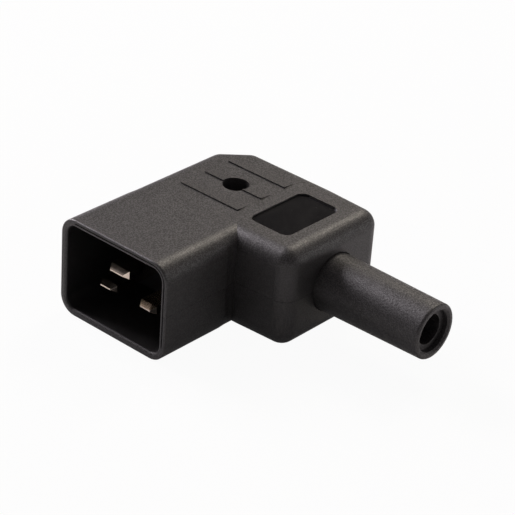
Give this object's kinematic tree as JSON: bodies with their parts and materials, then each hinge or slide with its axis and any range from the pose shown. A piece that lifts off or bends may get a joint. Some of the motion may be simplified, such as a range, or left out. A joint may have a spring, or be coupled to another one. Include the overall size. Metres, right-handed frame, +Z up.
{
  "type": "right-angle appliance plug",
  "caption": "Right-angle rewirable appliance plug: flat blades in a rectangular shroud, a split housing closed by a screw, and a tubular bend sleeve for the cord at its side.",
  "frame": {"origin": "centre of the mouth's rim, on the parting plane of the two half shells", "axes": "-Y out of the mouth, +X along the cord's exit, +Z up, away from the face that the plug rests on"},
  "size_m": [0.0794, 0.0588, 0.0261],
  "materials": {
    "housing": "spark-eroded satin",
    "carrier": "moulded satin",
    "sleeve": "soft satin",
    "blades": "nickel-plated",
    "screws": "zinc-plated"
  },
  "bodies": {
    "root": {"upper_shell": "housing", "lower_shell": "housing", "pin_carrier": "carrier", "line_pin": "blades", "neutral_pin": "blades", "earth_pin": "blades", "terminal_screws": "screws", "cord_clamp": "carrier", "cord_clamp_screws": "screws", "housing_screw": "screws", "bend_sleeve": "sleeve"}
  },
  "joints": []
}
